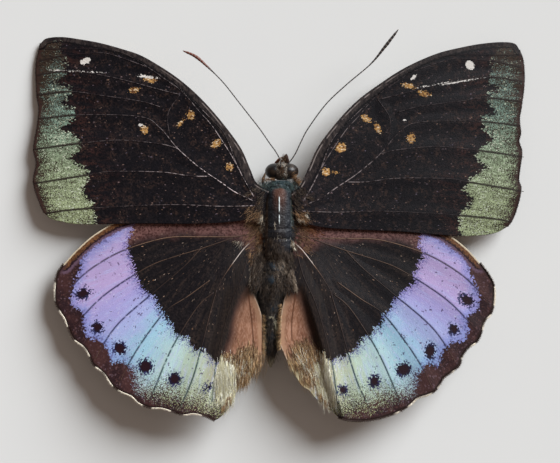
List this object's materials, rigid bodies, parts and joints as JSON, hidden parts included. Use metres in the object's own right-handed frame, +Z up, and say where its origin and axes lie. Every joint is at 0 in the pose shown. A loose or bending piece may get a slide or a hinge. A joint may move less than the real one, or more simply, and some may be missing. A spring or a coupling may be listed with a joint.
{
  "type": "spread butterfly specimen",
  "caption": "Dried brush-footed butterfly with its wings spread flat, a hairy body, clubbed antennae and folded legs; lies on its underside as a display specimen",
  "frame": {"origin": "the middle of the flat underside of the thorax, on the plane that the specimen rests on", "axes": "+X towards the butterfly's own right wings, +Y towards its head, +Z up through its back"},
  "size_m": [0.0864, 0.068, 0.0082],
  "materials": {
    "forewing": "satin",
    "hindwing": "satin",
    "body": "satin",
    "eye": "gloss",
    "palp": "matte",
    "antenna": "satin",
    "leg": "satin"
  },
  "bodies": {
    "root": {"left_forewing": "forewing", "right_forewing": "forewing", "left_hindwing": "hindwing", "right_hindwing": "hindwing", "thorax": "body", "abdomen": "body", "head": "body", "left_eye": "eye", "right_eye": "eye", "left_palp": "palp", "right_palp": "palp", "proboscis": "leg", "left_antenna": "antenna", "right_antenna": "antenna", "left_foreleg": "leg", "right_foreleg": "leg", "left_midleg": "leg", "right_midleg": "leg", "left_hindleg": "leg", "right_hindleg": "leg"}
  },
  "joints": []
}
